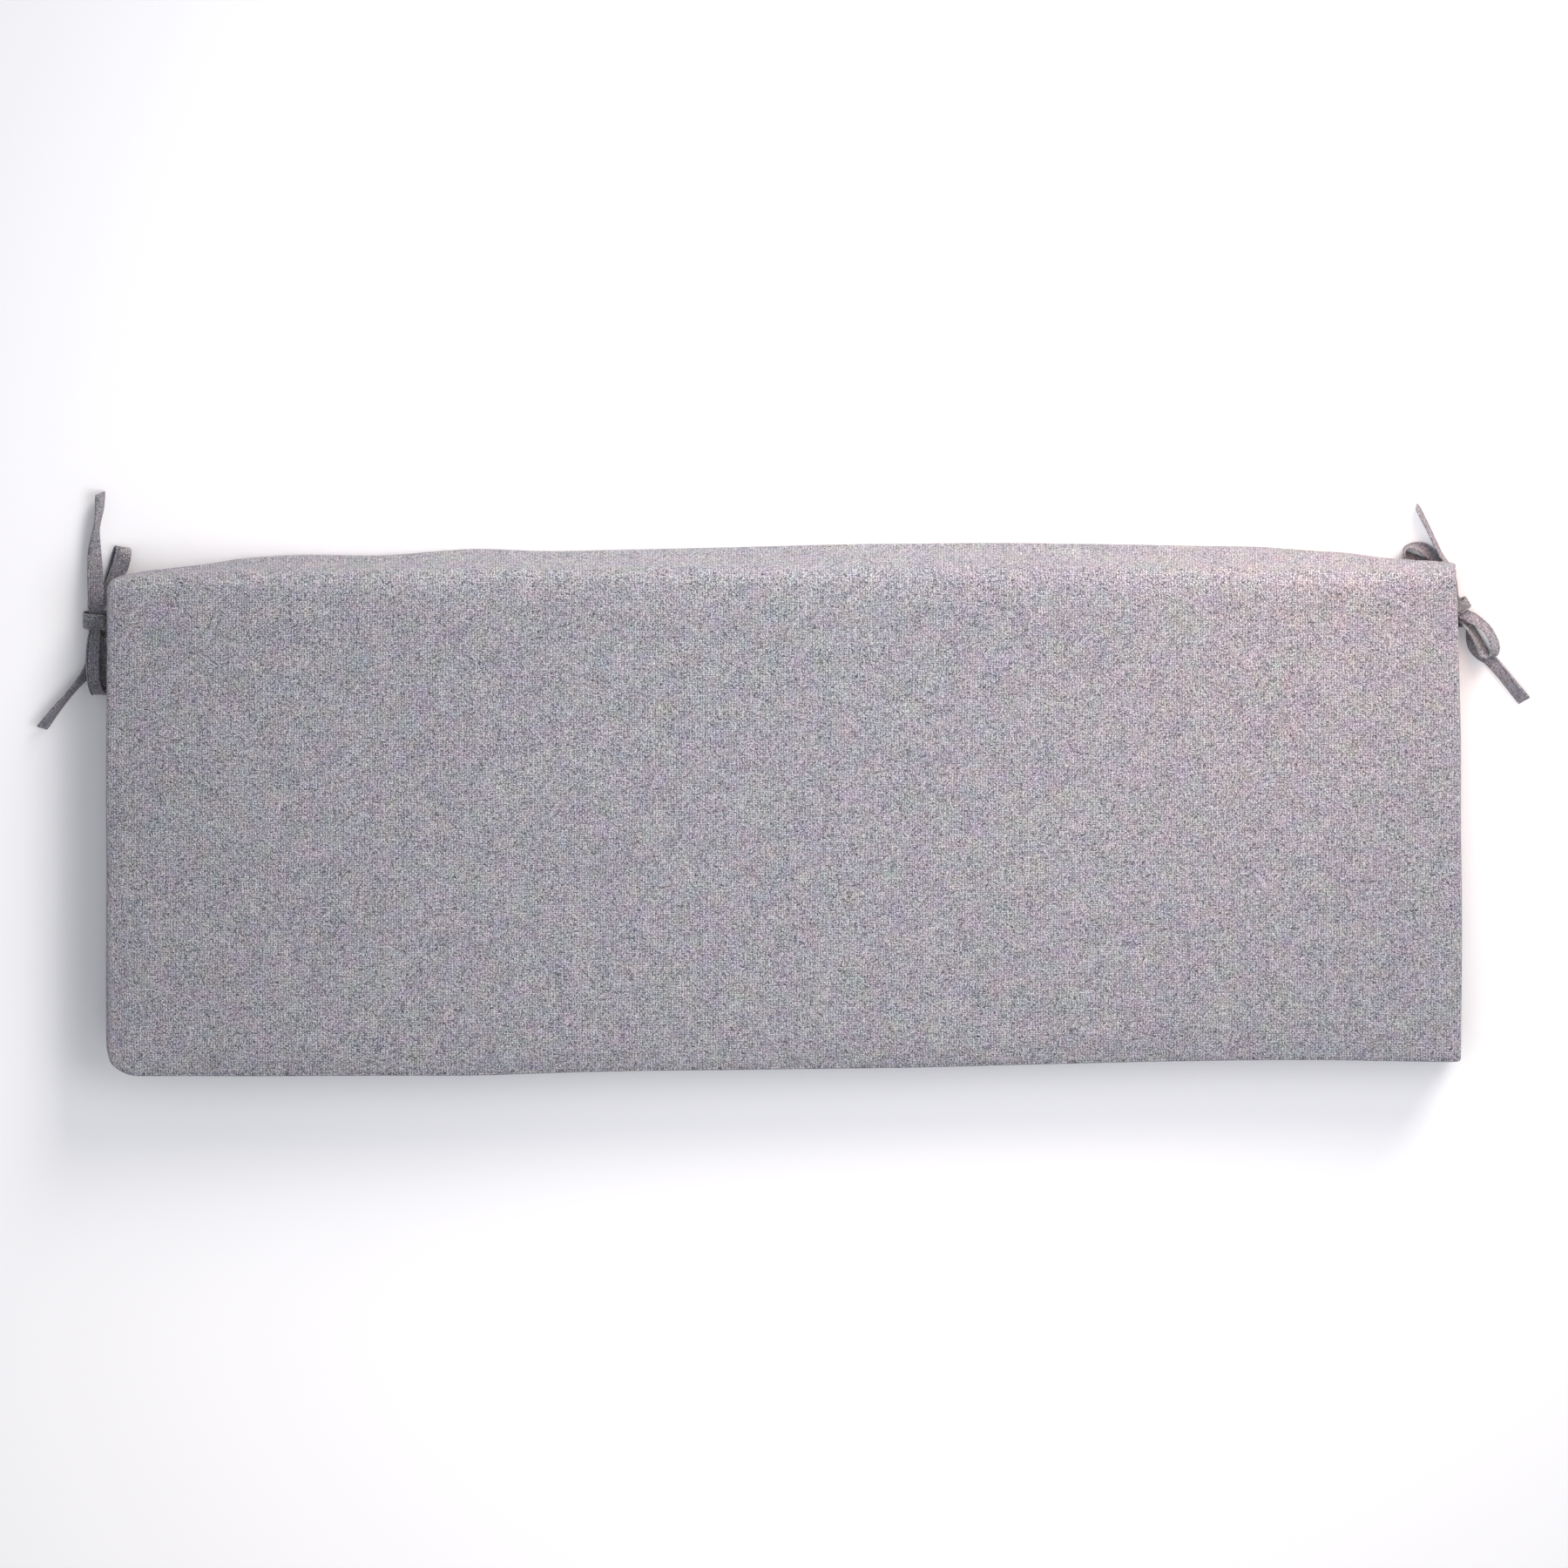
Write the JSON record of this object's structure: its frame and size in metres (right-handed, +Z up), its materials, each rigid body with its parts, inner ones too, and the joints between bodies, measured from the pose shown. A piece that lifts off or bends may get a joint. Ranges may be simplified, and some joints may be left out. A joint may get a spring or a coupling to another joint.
{
  "type": "bench cushion",
  "caption": "Long flat tie-on bench cushion: boxed woven cover over a firm filling, with cloth ties knotted in a bow at each rear corner.",
  "frame": {"origin": "middle of the cushion's underside, where it rests", "axes": "+X along its length to the right tie, +Y from its front edge to the tie edge, +Z up through its thickness to the face"},
  "size_m": [1.0096, 0.4026, 0.0535],
  "materials": {
    "cover_cloth": "matte grey melange plain weave",
    "tie_cloth": "the cover's cloth, folded and stitched flat"
  },
  "bodies": {
    "root": {"cushion": "cover_cloth", "tie_left_up": "tie_cloth", "tie_left_down": "tie_cloth", "tie_right_up": "tie_cloth", "tie_right_down": "tie_cloth"}
  },
  "joints": []
}
